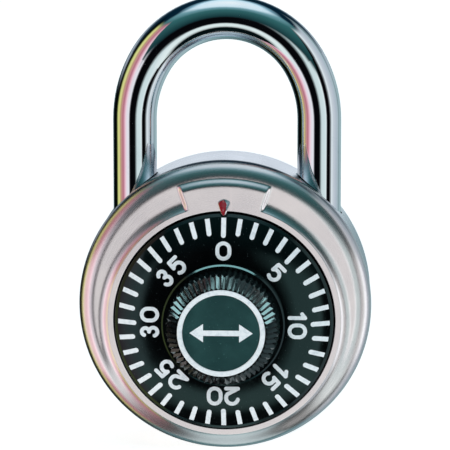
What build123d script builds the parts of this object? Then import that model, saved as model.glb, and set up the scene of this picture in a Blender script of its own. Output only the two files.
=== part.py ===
from build123d import *

import os
from math import asin, atan, cos, degrees, radians, sin

# A round combination padlock, in millimetres.
# X points to the right, Z up the shackle, and the dial faces -Y. The origin is the centre of the
# round case on its flat back face, so a height h above the back face lies at y = -h.
# Closed and with the combination set: the dial's 0 is under the index and every gate is at the top.

# ---- Case ----
RIM_RADIUS = 24.0
SHELL_RADIUS = 23.7
SHELL_WALL = 0.9
SHELL_CORNER = 2.0
SEAM_HEIGHT = 13.5
SHEET = 0.8
# The cover rolls over from its widest point in two arcs that meet at this tilt.
WIDEST_HEIGHT = 14.0
ROLL_RADIUS = 2.3
ROLL_TILT = 38.0
SHOULDER_RADIUS = 3.2
# A ring around the dial, and a tab for the index, stand above the land.
RING_RISE = 0.7
RING_RADIUS = 19.1
RING_FOOT_RADIUS = 20.0
TAB_RADIUS = 23.5
TAB_HALF_ANGLE = 19.6
TAB_WALL_TAPER = 32
WELL_RADIUS = 18.1
WELL_HEIGHT = 13.6
INNER_WALL = 0.8

# ---- Dial, which sits a little below the centre of the case ----
DIAL_DROP = 2.1
DIAL_RADIUS = 17.87
DIAL_HEIGHT = 19.7
DIAL_EDGE_HEIGHT = 17.7
DIAL_FLAT_RADIUS = 14.0
BEVEL_RADIUS = 17.4
BEVEL_HEIGHT = 18.1
DIAL_GAP = 0.2
DIAL_WALL = 1.1
POSITIONS = 40
NUMBER_STEP = 5

# ---- Knob ----
COLLAR_RADIUS = 10.05
COLLAR_HEIGHT = 21.2
KNOB_FOOT_RADIUS = 9.35
KNOB_SHOULDER_RADIUS = 9.06
KNOB_SHOULDER_HEIGHT = 24.95
KNOB_TOP_RADIUS = 7.5
KNOB_FACE_HEIGHT = 27.35
FLUTES = 60
FLUTE_DEPTH = 0.35
LABEL_RADIUS = 6.27
LABEL_RING_RADIUS = 7.1

# ---- Shackle ----
ROD_RADIUS = 3.6
LEG_OFFSET = 15.2
LEG_HEIGHT = 7.3
BOW_SPRING_LINE = 29.8
BOW_TOP_RADIUS = 14.6
BOW_TOP_HALF_ANGLE = 60.0
LIFT = 12.0
HEEL_BOTTOM = -4.8
TOE_BOTTOM = 9.4
BORE_CLEARANCE = 0.15

# ---- Locking parts ----
WHEEL_RADIUS = 10.4
WHEEL_THICKNESS = 1.2
CAM_THICKNESS = 1.4
SPACER_THICKNESS = 1.0
STACK_PLAY = 0.05
GATE_WIDTH = 2.4
GATE_DEPTH = 2.2
PIN_RADIUS = 1.0
PIN_CIRCLE_RADIUS = 7.6
PIN_LENGTH = 0.8
PIN_REST_ANGLE = 200.0
SPINDLE_RADIUS = 1.5
POST_RADIUS = 2.5
RUNNING_CLEARANCE = 0.05
GUIDE_BOTTOM = 9.0
PIVOT_X = 7.6
PIVOT_Z = 13.0
PIVOT_RADIUS = 1.2
PAWL_REACH = 6.0
PAWL_THICKNESS = 4.0
FENCE_GAP = 0.35

# ---- Sizes that follow from the ones above ----
DIAL_Z = -DIAL_DROP
LAND_RADIUS = RIM_RADIUS - ROLL_RADIUS - (SHOULDER_RADIUS - ROLL_RADIUS) * sin(radians(ROLL_TILT))
LAND_HEIGHT = (
    WIDEST_HEIGHT + SHOULDER_RADIUS - (SHOULDER_RADIUS - ROLL_RADIUS) * cos(radians(ROLL_TILT))
)
RING_HEIGHT = LAND_HEIGHT + RING_RISE
FLOOR_FRONT = WELL_HEIGHT - SHEET
FLOOR_REAR = FLOOR_FRONT - INNER_WALL
SHELL_INSIDE = SHELL_RADIUS - SHELL_WALL
INNER_CASE_RADIUS = SHELL_INSIDE - 0.1
CAVITY_RADIUS = INNER_CASE_RADIUS - INNER_WALL
LEG_BORE_RADIUS = ROD_RADIUS + BORE_CLEARANCE
WHEEL_TOP = DIAL_Z + WHEEL_RADIUS
WASHER_REAR = FLOOR_REAR - 0.4
FRONT_WHEEL_FRONT = WASHER_REAR - STACK_PLAY
FRONT_WHEEL_REAR = FRONT_WHEEL_FRONT - WHEEL_THICKNESS
FRONT_SPACER_FRONT = FRONT_WHEEL_REAR - STACK_PLAY
MIDDLE_WHEEL_FRONT = FRONT_SPACER_FRONT - SPACER_THICKNESS - STACK_PLAY
MIDDLE_WHEEL_REAR = MIDDLE_WHEEL_FRONT - WHEEL_THICKNESS
REAR_SPACER_FRONT = MIDDLE_WHEEL_REAR - STACK_PLAY
POST_REAR = REAR_SPACER_FRONT - SPACER_THICKNESS
CAM_FRONT = POST_REAR - STACK_PLAY
CAM_REAR = CAM_FRONT - CAM_THICKNESS
PIN_SLACK_ANGLE = 0.5
# Pins of neighbouring wheels would touch at the first angle; they rest a little short of it.
PIN_ANGLE = 2 * degrees(asin(PIN_RADIUS / PIN_CIRCLE_RADIUS)) + PIN_SLACK_ANGLE
SHELL_BORE_RADIUS = LEG_BORE_RADIUS + 0.05

CASE_AXIS = Axis((0, 0, 0), (0, -1, 0))
DIAL_AXIS = Axis((0, 0, DIAL_Z), (0, -1, 0))


def case_plane(height):
    """The plane at this height above the back face, seen from the front, centred on the case."""
    return Plane(origin=(0, -height, 0), x_dir=(1, 0, 0), z_dir=(0, -1, 0))


def dial_plane(height):
    """The plane at this height above the back face, seen from the front, centred on the dial."""
    return Plane(origin=(0, -height, DIAL_Z), x_dir=(1, 0, 0), z_dir=(0, -1, 0))


def section_plane(x=0.0, z=0.0):
    """A plane across the lock through (x, z), for profiles drawn as (radius, height)."""
    return Plane(origin=(x, 0, z), x_dir=(1, 0, 0), z_dir=(0, 0, -1))


def leg_plane(x, z):
    """The plane square to a shackle leg, centred on the leg."""
    return Plane(origin=(x, -LEG_HEIGHT, z), x_dir=(1, 0, 0), z_dir=(0, 0, 1))


def s_bend(run, rise):
    """The turning angle in degrees of two opposed arcs that join two parallel lines, and the sum
    of their radii."""
    turn = 2 * atan(rise / run)
    return degrees(turn), run / sin(turn)


# ---- Rear shell: a deep-drawn cup with a rounded back corner and two holes for the legs ----
with BuildPart() as rear_shell:
    with BuildSketch(section_plane()) as shell_profile:
        Rectangle(SHELL_RADIUS, SEAM_HEIGHT, align=(Align.MIN, Align.MIN))
        fillet(shell_profile.vertices().sort_by_distance((SHELL_RADIUS, 0))[0], SHELL_CORNER)
    revolve(axis=CASE_AXIS)
    with BuildSketch(section_plane()) as shell_hollow:
        with Locations((0, SHELL_WALL)):
            Rectangle(SHELL_INSIDE, SEAM_HEIGHT, align=(Align.MIN, Align.MIN))
        fillet(
            shell_hollow.vertices().sort_by_distance((SHELL_INSIDE, SHELL_WALL))[0],
            SHELL_CORNER - SHELL_WALL,
        )
    revolve(axis=CASE_AXIS, mode=Mode.SUBTRACT)
    for leg_x in (-LEG_OFFSET, LEG_OFFSET):
        with BuildSketch(leg_plane(leg_x, GUIDE_BOTTOM)):
            Circle(SHELL_BORE_RADIUS)
        extrude(amount=RIM_RADIUS, mode=Mode.SUBTRACT)
rear_shell.part.label = "rear_shell"

# ---- Index nib: a pressed-up pointer that rises from the tab and reaches over the dial ----
NIB_TOP = 20.1
NIB_BEND = 18.2
NIB_TIP = 17.6
NIB_LOW = RING_HEIGHT + 0.3
NIB_HIGH = 18.6
NIB_SHEET = 0.3
NIB_ROOT = RING_HEIGHT - 0.1
NIB_WIDE_AT = 19.25
NIB_HALF_WIDTH = 0.95
NIB_TIP_HALF_WIDTH = 0.28
NIB_PLANE = Plane(origin=(0, 0, DIAL_Z), x_dir=(0, 0, 1), z_dir=(1, 0, 0))

with BuildPart() as index_nib:
    with BuildSketch(dial_plane(NIB_ROOT)):
        with BuildSketch(mode=Mode.PRIVATE) as nib_ends:
            with Locations((0, NIB_WIDE_AT)):
                Circle(NIB_HALF_WIDTH)
            with Locations((0, NIB_TIP + NIB_TIP_HALF_WIDTH)):
                Circle(NIB_TIP_HALF_WIDTH)
        make_hull(nib_ends.edges())
    extrude(amount=NIB_HIGH)
    with BuildSketch(NIB_PLANE):
        with BuildLine():
            Polyline(
                (NIB_TOP, NIB_ROOT),
                (NIB_TOP, NIB_LOW),
                (NIB_BEND, NIB_HIGH),
                (NIB_TIP, NIB_HIGH),
                (NIB_TIP, NIB_HIGH - NIB_SHEET),
                (WELL_RADIUS, NIB_HIGH - NIB_SHEET),
                (WELL_RADIUS, NIB_ROOT),
                close=True,
            )
        make_face()
    extrude(amount=2, both=True, mode=Mode.INTERSECT)

# ---- Front cover: a convex rim, a flat land, and a raised ring with a tab around the dial ----
COVER_CHAMFER = 0.3
TAB_CORNER = 0.6
TAB_EMBED = 0.3
with BuildPart() as front_cover:
    with BuildSketch(section_plane()) as cover_profile:
        with BuildLine():
            lip = SHELL_INSIDE - 0.2
            Polyline(
                (LAND_RADIUS, LAND_HEIGHT),
                (0, LAND_HEIGHT),
                (0, FLOOR_FRONT),
                (lip, FLOOR_FRONT),
                (lip, SEAM_HEIGHT),
                (RIM_RADIUS - COVER_CHAMFER, SEAM_HEIGHT),
                (RIM_RADIUS, SEAM_HEIGHT + COVER_CHAMFER),
                (RIM_RADIUS, WIDEST_HEIGHT),
            )
            CenterArc((RIM_RADIUS - ROLL_RADIUS, WIDEST_HEIGHT), ROLL_RADIUS, 0, 90 - ROLL_TILT)
            CenterArc(
                (LAND_RADIUS, LAND_HEIGHT - SHOULDER_RADIUS),
                SHOULDER_RADIUS,
                90 - ROLL_TILT,
                ROLL_TILT,
            )
        make_face()
    revolve(axis=CASE_AXIS)
    # The raised ring, with an S-shaped wall.
    with BuildSketch(section_plane(z=DIAL_Z)):
        with BuildLine():
            wall_turn, wall_radii = s_bend(RING_FOOT_RADIUS - RING_RADIUS, RING_RISE)
            top_arc = 0.4 * wall_radii
            foot_arc = 0.6 * wall_radii
            Polyline(
                (RING_RADIUS, RING_HEIGHT),
                (0, RING_HEIGHT),
                (0, LAND_HEIGHT - SHEET),
                (RING_FOOT_RADIUS, LAND_HEIGHT - SHEET),
                (RING_FOOT_RADIUS, LAND_HEIGHT),
            )
            CenterArc((RING_FOOT_RADIUS, LAND_HEIGHT + foot_arc), foot_arc, -90, -wall_turn)
            CenterArc((RING_RADIUS, RING_HEIGHT - top_arc), top_arc, 90 - wall_turn, wall_turn)
        make_face()
    revolve(axis=DIAL_AXIS)
    # The tab that holds the index: a raised sector that reaches out to the rim.
    with BuildSketch(dial_plane(LAND_HEIGHT - TAB_EMBED)) as tab:
        with BuildLine():
            top = CenterArc((0, 0), TAB_RADIUS, 90 - TAB_HALF_ANGLE, 2 * TAB_HALF_ANGLE)
            Polyline(top @ 1, (0, 0), top @ 0)
        make_face()
        fillet(tab.vertices().group_by(Axis.Y)[-1], TAB_CORNER)
    extrude(amount=RING_RISE + TAB_EMBED, taper=TAB_WALL_TAPER)
    # The well for the dial.
    with BuildSketch(dial_plane(WELL_HEIGHT)):
        Circle(WELL_RADIUS)
    extrude(amount=RIM_RADIUS, mode=Mode.SUBTRACT)
    # The underside follows the pressed shape, so the land is as thin as the rest of the sheet.
    with BuildSketch(case_plane(FLOOR_FRONT)):
        Circle(LAND_RADIUS + SHEET)
        with Locations((0, DIAL_Z)):
            Circle(WELL_RADIUS + SHEET, mode=Mode.SUBTRACT)
    extrude(amount=LAND_HEIGHT - SHEET - FLOOR_FRONT, mode=Mode.SUBTRACT)
    # The hole for the wheel post.
    with BuildSketch(dial_plane(FLOOR_FRONT)):
        Circle(POST_RADIUS + 0.8)
    extrude(amount=SHEET, mode=Mode.SUBTRACT)
    add(index_nib.part)
front_cover.part.label = "front_cover"

# ---- Index mark: red enamel on the front of the nib ----
MARK_THICKNESS = 0.12
MARK_HALF_WIDTH = 0.62
MARK_TIP_HALF_WIDTH = 0.16
MARK_OFFSET = -0.12
with BuildPart() as index_mark:
    with BuildSketch(dial_plane(RING_HEIGHT)):
        with BuildSketch(mode=Mode.PRIVATE) as mark_ends:
            with Locations((MARK_OFFSET, NIB_WIDE_AT)):
                Circle(MARK_HALF_WIDTH)
            with Locations((0, NIB_TIP + MARK_TIP_HALF_WIDTH)):
                Circle(MARK_TIP_HALF_WIDTH)
        make_hull(mark_ends.edges())
    extrude(amount=NIB_HIGH)
    with BuildSketch(NIB_PLANE):
        with BuildLine():
            Polyline(
                (NIB_TOP, NIB_LOW),
                (NIB_BEND, NIB_HIGH),
                (NIB_TIP, NIB_HIGH),
                (NIB_TIP, NIB_HIGH + MARK_THICKNESS),
                (NIB_BEND, NIB_HIGH + MARK_THICKNESS),
                (NIB_TOP, NIB_LOW + MARK_THICKNESS),
                close=True,
            )
        make_face()
    extrude(amount=2, both=True, mode=Mode.INTERSECT)
index_mark.part.label = "index_mark"

# ---- Inner case: a second cup inside the shell, whose floor carries the works ----
with BuildPart() as inner_case:
    with BuildSketch(case_plane(SHELL_CORNER)):
        Circle(INNER_CASE_RADIUS)
    extrude(amount=FLOOR_FRONT - SHELL_CORNER)
    fillet(inner_case.edges().group_by(Axis.Y)[0], 0.6)
    with BuildSketch(case_plane(SHELL_CORNER)):
        Circle(CAVITY_RADIUS)
    extrude(amount=FLOOR_REAR - SHELL_CORNER, mode=Mode.SUBTRACT)
    for leg_x in (-LEG_OFFSET, LEG_OFFSET):
        with BuildSketch(leg_plane(leg_x, GUIDE_BOTTOM)):
            Circle(SHELL_BORE_RADIUS)
        extrude(amount=RIM_RADIUS, mode=Mode.SUBTRACT)
    with BuildSketch(dial_plane(FLOOR_REAR)):
        Circle(POST_RADIUS)
    extrude(amount=INNER_WALL, mode=Mode.SUBTRACT)
inner_case.part.label = "inner_case"

# ---- Shackle guide: a die-cast block with a bore for each leg and a pocket for the levers ----
POCKET_FLOOR = 9.8
GUIDE_RADIUS = SHELL_RADIUS - SHELL_CORNER
with BuildPart() as shackle_guide:
    with BuildSketch(case_plane(SHELL_WALL)):
        Circle(GUIDE_RADIUS)
        with Locations((0, GUIDE_BOTTOM)):
            Rectangle(
                2 * RIM_RADIUS,
                2 * RIM_RADIUS,
                align=(Align.CENTER, Align.MIN),
                mode=Mode.INTERSECT,
            )
    extrude(amount=FLOOR_REAR - SHELL_WALL)
    for leg_x in (-LEG_OFFSET, LEG_OFFSET):
        with BuildSketch(leg_plane(leg_x, 0)):
            Circle(LEG_BORE_RADIUS)
        extrude(amount=RIM_RADIUS, mode=Mode.SUBTRACT)
    with BuildSketch(case_plane(SHELL_WALL)):
        with Locations((PIVOT_X, PIVOT_Z)):
            Circle(PAWL_REACH + 0.25)
        with Locations((-3.2, GUIDE_BOTTOM - 1)):
            Rectangle(PIVOT_X + 3.2, 7.5, align=(Align.MIN, Align.MIN))
    extrude(amount=POCKET_FLOOR - SHELL_WALL, mode=Mode.SUBTRACT)
    with BuildSketch(case_plane(SHELL_WALL)):
        with Locations((0, GUIDE_BOTTOM)):
            Rectangle(4.4, 3.6, align=(Align.CENTER, Align.MIN))
    extrude(amount=FLOOR_REAR - SHELL_WALL, mode=Mode.SUBTRACT)
    with BuildSketch(case_plane(POCKET_FLOOR)):
        with Locations((PIVOT_X, PIVOT_Z)):
            Circle(PIVOT_RADIUS)
    extrude(amount=FLOOR_REAR - POCKET_FLOOR, mode=Mode.SUBTRACT)
shackle_guide.part.label = "shackle_guide"

# ---- Wheel post: a flanged tube through the inner case's floor, on which the wheels turn ----
with BuildPart() as wheel_post:
    with BuildSketch(dial_plane(POST_REAR)):
        Circle(POST_RADIUS)
    extrude(amount=FLOOR_FRONT - POST_REAR)
    with BuildSketch(dial_plane(FLOOR_FRONT)):
        Circle(POST_RADIUS + 0.7)
    extrude(amount=0.5)
    with BuildSketch(dial_plane(POST_REAR)):
        Circle(SPINDLE_RADIUS + RUNNING_CLEARANCE)
    extrude(amount=SEAM_HEIGHT, mode=Mode.SUBTRACT)
wheel_post.part.label = "wheel_post"

# ---- Tension washer, between the inner case's floor and the front wheel ----
with BuildPart() as tension_washer:
    with BuildSketch(dial_plane(WASHER_REAR)):
        Circle(POST_RADIUS + 3.0)
        Circle(POST_RADIUS, mode=Mode.SUBTRACT)
    extrude(amount=FLOOR_REAR - WASHER_REAR)
tension_washer.part.label = "tension_washer"

# ---- Wheel spacers: two alike, pressed on the post, one behind each wheel ----
with BuildPart() as wheel_spacers:
    for spacer_rear in (POST_REAR, FRONT_SPACER_FRONT - SPACER_THICKNESS):
        with BuildSketch(dial_plane(spacer_rear)):
            Circle(POST_RADIUS + 2.7)
            Circle(POST_RADIUS, mode=Mode.SUBTRACT)
        extrude(amount=SPACER_THICKNESS)
wheel_spacers.part.label = "wheel_spacers"

# ---- Dial washer, under the hub of the dial ----
DIAL_HUB_HEIGHT = WELL_HEIGHT + 0.3
with BuildPart() as dial_washer:
    with BuildSketch(dial_plane(WELL_HEIGHT)):
        Circle(5.0)
        Circle(SPINDLE_RADIUS + 0.2, mode=Mode.SUBTRACT)
    extrude(amount=DIAL_HUB_HEIGHT - RUNNING_CLEARANCE - WELL_HEIGHT)
dial_washer.part.label = "dial_washer"

# ---- Pivot post for the pawl and the fence lever, with its clip ----
PIVOT_REAR = 1.9
CLIP_REAR = 2.3
CLIP_THICKNESS = 0.6
with BuildPart() as pivot_post:
    with BuildSketch(case_plane(PIVOT_REAR)):
        with Locations((PIVOT_X, PIVOT_Z)):
            Circle(PIVOT_RADIUS)
    extrude(amount=FLOOR_REAR - PIVOT_REAR)
    chamfer(pivot_post.edges().group_by(Axis.Y)[-1], 0.2)
    with BuildSketch(case_plane(CLIP_REAR)):
        with Locations((PIVOT_X, PIVOT_Z)):
            Circle(PIVOT_RADIUS + 0.1)
            Circle(PIVOT_RADIUS - 0.3, mode=Mode.SUBTRACT)
    extrude(amount=CLIP_THICKNESS, mode=Mode.SUBTRACT)
pivot_post.part.label = "pivot_post"

with BuildPart() as pivot_clip:
    with BuildSketch(case_plane(CLIP_REAR)):
        with Locations((PIVOT_X, PIVOT_Z)):
            Circle(PIVOT_RADIUS + 0.9)
            Circle(PIVOT_RADIUS - 0.3, mode=Mode.SUBTRACT)
        with Locations((PIVOT_X, PIVOT_Z - 1.5)):
            Rectangle(1.2, 2.0, mode=Mode.SUBTRACT)
    extrude(amount=CLIP_THICKNESS)
pivot_clip.part.label = "pivot_clip"

# ---- Spring seat: a bracket on the inner case's floor, with a peg inside the shackle spring ----
SEAT_TOP = HEEL_BOTTOM - 0.6
SPRING_WIRE = 0.25
SPRING_RADIUS = 1.75
SPRING_BORE_TOP = 8.2
with BuildPart() as spring_seat:
    with BuildSketch(leg_plane(-LEG_OFFSET, SEAT_TOP - 1.0)):
        Circle(2.8)
        with Locations((0, LEG_HEIGHT - FLOOR_REAR)):
            Rectangle(4.4, FLOOR_REAR - LEG_HEIGHT, align=(Align.CENTER, Align.MIN))
    extrude(amount=1.0)
    with BuildSketch(leg_plane(-LEG_OFFSET, SEAT_TOP)):
        Circle(1.2)
    extrude(amount=2.6)
    chamfer(spring_seat.edges().group_by(Axis.Z)[-1], 0.3)
    with BuildSketch(case_plane(FLOOR_REAR - 0.8)):
        with Locations((-LEG_OFFSET, SEAT_TOP)):
            Rectangle(4.4, 4.6, align=(Align.CENTER, Align.MAX))
    extrude(amount=0.8)
spring_seat.part.label = "spring_seat"

# ---- Shackle: a bent rod; the heel leg stays in the case, the toe leg is notched for the pawl ----
FLANK_EXTRA = (LEG_OFFSET - BOW_TOP_RADIUS) / (1 - sin(radians(BOW_TOP_HALF_ANGLE)))
BOW_FLANK_RADIUS = BOW_TOP_RADIUS + FLANK_EXTRA
BOW_TOP_CENTRE = BOW_SPRING_LINE + FLANK_EXTRA * cos(radians(BOW_TOP_HALF_ANGLE))
FLANK_CENTRE = BOW_FLANK_RADIUS - LEG_OFFSET
FLANK_ANGLE = 90 - BOW_TOP_HALF_ANGLE
NOTCH_DEPTH = 2.25
NOTCH_BOTTOM = 10.9
NOTCH_TOP = 14.05
RING_TOP = GUIDE_BOTTOM - LIFT - 0.1
RING_THICKNESS = 0.9
GROOVE_DEPTH = 0.6
with BuildPart() as shackle:
    with BuildLine(case_plane(LEG_HEIGHT)) as rod_path:
        Line((-LEG_OFFSET, HEEL_BOTTOM), (-LEG_OFFSET, BOW_SPRING_LINE))
        CenterArc((FLANK_CENTRE, BOW_SPRING_LINE), BOW_FLANK_RADIUS, 180, -FLANK_ANGLE)
        CenterArc(
            (0, BOW_TOP_CENTRE), BOW_TOP_RADIUS, 180 - FLANK_ANGLE, -2 * BOW_TOP_HALF_ANGLE
        )
        CenterArc((-FLANK_CENTRE, BOW_SPRING_LINE), BOW_FLANK_RADIUS, FLANK_ANGLE, -FLANK_ANGLE)
        Line((LEG_OFFSET, BOW_SPRING_LINE), (LEG_OFFSET, TOE_BOTTOM))
    with BuildSketch(leg_plane(-LEG_OFFSET, HEEL_BOTTOM)):
        Circle(ROD_RADIUS)
    sweep(path=rod_path.wires()[0])
    chamfer(shackle.edges().group_by(Axis.Z)[0], 0.4)
    toe_edges = shackle.edges().filter_by(Plane.XY).filter_by_position(Axis.X, 0, RIM_RADIUS)
    chamfer(toe_edges.sort_by(Axis.Z)[0], 0.6)
    # Groove for the retaining ring.
    with BuildSketch(leg_plane(-LEG_OFFSET, RING_TOP - RING_THICKNESS)):
        Circle(ROD_RADIUS + 1)
        Circle(ROD_RADIUS - GROOVE_DEPTH, mode=Mode.SUBTRACT)
    extrude(amount=RING_THICKNESS, mode=Mode.SUBTRACT)
    # Blind bore for the spring that lifts the shackle.
    with BuildSketch(leg_plane(-LEG_OFFSET, HEEL_BOTTOM)):
        Circle(SPRING_RADIUS + SPRING_WIRE + 0.2)
    extrude(amount=SPRING_BORE_TOP - HEEL_BOTTOM, mode=Mode.SUBTRACT)
    # Notch for the pawl.
    with BuildSketch(leg_plane(LEG_OFFSET, NOTCH_BOTTOM)):
        with Locations((-ROD_RADIUS + NOTCH_DEPTH, 0)):
            Rectangle(2 * ROD_RADIUS, 3 * ROD_RADIUS, align=(Align.MAX, Align.CENTER))
    extrude(amount=NOTCH_TOP - NOTCH_BOTTOM, mode=Mode.SUBTRACT)
shackle.part.label = "shackle"

# ---- Heel retaining ring: meets the guide from below when the shackle is fully up ----
with BuildPart() as heel_retaining_ring:
    with BuildSketch(leg_plane(-LEG_OFFSET, RING_TOP - RING_THICKNESS)):
        Circle(ROD_RADIUS + 0.7)
        Circle(ROD_RADIUS - GROOVE_DEPTH, mode=Mode.SUBTRACT)
        with Locations((0, -ROD_RADIUS)):
            Rectangle(2.4, 2.4, mode=Mode.SUBTRACT)
    extrude(amount=RING_THICKNESS)
heel_retaining_ring.part.label = "heel_retaining_ring"

# ---- Shackle spring: compressed inside the heel leg, between its bore and the seat ----
SPRING_LENGTH = SPRING_BORE_TOP - SEAT_TOP - 2 * SPRING_WIRE - 0.04
SPRING_PITCH = SPRING_LENGTH / 9
with BuildPart() as shackle_spring:
    with BuildLine(leg_plane(-LEG_OFFSET, SEAT_TOP + SPRING_WIRE + 0.02)) as spring_path:
        Helix(SPRING_PITCH, SPRING_LENGTH, SPRING_RADIUS)
    with BuildSketch(Plane(origin=spring_path.wires()[0] @ 0, z_dir=spring_path.wires()[0] % 0)):
        Circle(SPRING_WIRE)
    sweep(path=spring_path.wires()[0], is_frenet=True)
shackle_spring.part.label = "shackle_spring"

# ---- Locking pawl: its nose enters the toe leg's notch and swings clear as the leg rises ----
PAWL_REAR = LEG_HEIGHT - PAWL_THICKNESS / 2
NOSE_RADIUS = 0.8
with BuildPart() as locking_pawl:
    with BuildSketch(case_plane(PAWL_REAR)):
        with BuildSketch(mode=Mode.PRIVATE) as pawl_ends:
            with Locations((PIVOT_X, PIVOT_Z)):
                Circle(1.4)
            with Locations((PIVOT_X + PAWL_REACH - NOSE_RADIUS, PIVOT_Z)):
                Circle(NOSE_RADIUS)
        make_hull(pawl_ends.edges())
        with Locations((PIVOT_X, PIVOT_Z)):
            Circle(2.3)
            Circle(PIVOT_RADIUS + RUNNING_CLEARANCE, mode=Mode.SUBTRACT)
    extrude(amount=PAWL_THICKNESS)
locking_pawl.part.label = "locking_pawl"

# ---- Fence lever and its bar, which waits just above the wheels' gates ----
LEVER_REAR = CLIP_REAR + CLIP_THICKNESS + 0.2
LEVER_THICKNESS = 1.2
BAR_WIDTH = 1.8
BAR_DEPTH = 2.2
BAR_BOTTOM = WHEEL_TOP + FENCE_GAP
BAR_MIDDLE = BAR_BOTTOM + BAR_DEPTH / 2
with BuildPart() as fence_lever:
    with BuildSketch(case_plane(LEVER_REAR)):
        with BuildSketch(mode=Mode.PRIVATE) as lever_ends:
            with Locations((PIVOT_X, PIVOT_Z)):
                Circle(2.2)
            with Locations((0, BAR_MIDDLE)):
                Circle(2.0)
        make_hull(lever_ends.edges())
        with Locations((PIVOT_X, PIVOT_Z)):
            Circle(PIVOT_RADIUS + RUNNING_CLEARANCE, mode=Mode.SUBTRACT)
        with Locations((0, BAR_MIDDLE)):
            Rectangle(BAR_WIDTH, BAR_DEPTH, mode=Mode.SUBTRACT)
    extrude(amount=LEVER_THICKNESS)
fence_lever.part.label = "fence_lever"

with BuildPart() as fence_bar:
    with BuildSketch(case_plane(LEVER_REAR - 0.1)):
        with Locations((0, BAR_MIDDLE)):
            Rectangle(BAR_WIDTH, BAR_DEPTH)
    extrude(amount=FRONT_WHEEL_FRONT - LEVER_REAR)
fence_bar.part.label = "fence_bar"

# ---- Lever spring: a torsion coil on the pivot post, between the lever and the pawl ----
COIL_WIRE = 0.15
COIL_RADIUS = 1.55
with BuildPart() as lever_spring:
    with BuildLine() as coil_path:
        Helix(
            0.35,
            0.5,
            COIL_RADIUS,
            center=(PIVOT_X, -(LEVER_REAR + LEVER_THICKNESS + 0.2), PIVOT_Z),
            direction=(0, -1, 0),
        )
    with BuildSketch(Plane(origin=coil_path.wires()[0] @ 0, z_dir=coil_path.wires()[0] % 0)):
        Circle(COIL_WIRE)
    sweep(path=coil_path.wires()[0], is_frenet=True)
lever_spring.part.label = "lever_spring"


# ---- Wheels: each has a gate in its rim and drive pins in the gaps in front and behind ----
def wheel_face(notches=0):
    """The outline of a wheel with its gate at the top, and shallow false notches if any."""
    with BuildSketch() as outline:
        Circle(WHEEL_RADIUS)
        with Locations((0, WHEEL_RADIUS - GATE_DEPTH)):
            Rectangle(
                GATE_WIDTH, 2 * GATE_DEPTH, align=(Align.CENTER, Align.MIN), mode=Mode.SUBTRACT
            )
        if notches:
            step = 360 / notches
            spread = 360 - 2 * step
            with PolarLocations(WHEEL_RADIUS, notches - 1, 90 + step, spread, endpoint=True):
                Rectangle(1.2, 1.4, mode=Mode.SUBTRACT)
    return outline.sketch


def pin_place(turn):
    """The centre of a drive pin, turned anticlockwise from the rest angle."""
    angle = radians(PIN_REST_ANGLE + turn)
    return (PIN_CIRCLE_RADIUS * cos(angle), PIN_CIRCLE_RADIUS * sin(angle))


with BuildPart() as front_wheel:
    with BuildSketch(dial_plane(FRONT_WHEEL_REAR)):
        add(wheel_face())
        Circle(POST_RADIUS + RUNNING_CLEARANCE, mode=Mode.SUBTRACT)
    extrude(amount=WHEEL_THICKNESS)
    with BuildSketch(dial_plane(FRONT_WHEEL_REAR)):
        with Locations(pin_place(2 * PIN_ANGLE)):
            Circle(PIN_RADIUS)
    extrude(amount=-PIN_LENGTH)
front_wheel.part.label = "front_wheel"

with BuildPart() as middle_wheel:
    with BuildSketch(dial_plane(MIDDLE_WHEEL_REAR)):
        add(wheel_face())
        Circle(POST_RADIUS + RUNNING_CLEARANCE, mode=Mode.SUBTRACT)
    extrude(amount=WHEEL_THICKNESS)
    with BuildSketch(dial_plane(MIDDLE_WHEEL_REAR - PIN_LENGTH)):
        with Locations(pin_place(PIN_ANGLE)):
            Circle(PIN_RADIUS)
    extrude(amount=2 * PIN_LENGTH + WHEEL_THICKNESS)
middle_wheel.part.label = "middle_wheel"

with BuildPart() as drive_cam:
    with BuildSketch(dial_plane(CAM_REAR)):
        add(wheel_face(notches=12))
        Circle(SPINDLE_RADIUS, mode=Mode.SUBTRACT)
    extrude(amount=CAM_THICKNESS)
    with BuildSketch(dial_plane(CAM_FRONT)):
        with Locations(pin_place(0)):
            Circle(PIN_RADIUS)
    extrude(amount=PIN_LENGTH)
drive_cam.part.label = "drive_cam"

# ---- Dial spindle: joins the knob and dial in front to the cam behind, held by a ring ----
SPINDLE_REAR = CAM_REAR - 1.2
SPINDLE_FRONT = 24.2
RETAINER_THICKNESS = 0.7
with BuildPart() as dial_spindle:
    with BuildSketch(dial_plane(SPINDLE_REAR)):
        Circle(SPINDLE_RADIUS)
    extrude(amount=SPINDLE_FRONT - SPINDLE_REAR)
    chamfer(dial_spindle.edges().filter_by(GeomType.CIRCLE), 0.2)
    with BuildSketch(dial_plane(CAM_REAR)):
        Circle(SPINDLE_RADIUS + 0.1)
        Circle(SPINDLE_RADIUS - 0.3, mode=Mode.SUBTRACT)
    extrude(amount=-RETAINER_THICKNESS, mode=Mode.SUBTRACT)
dial_spindle.part.label = "dial_spindle"

with BuildPart() as spindle_retainer:
    with BuildSketch(dial_plane(CAM_REAR)):
        Circle(SPINDLE_RADIUS + 1.1)
        Circle(SPINDLE_RADIUS - 0.3, mode=Mode.SUBTRACT)
        with Locations((0, -2)):
            Rectangle(1.4, 2.4, mode=Mode.SUBTRACT)
    extrude(amount=-RETAINER_THICKNESS)
spindle_retainer.part.label = "spindle_retainer"

# ---- Numerals: single strokes with round ends ----
STROKE = 0.63
DIGIT_WIDE = 0.98
DIGIT_HIGH = 1.27


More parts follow.
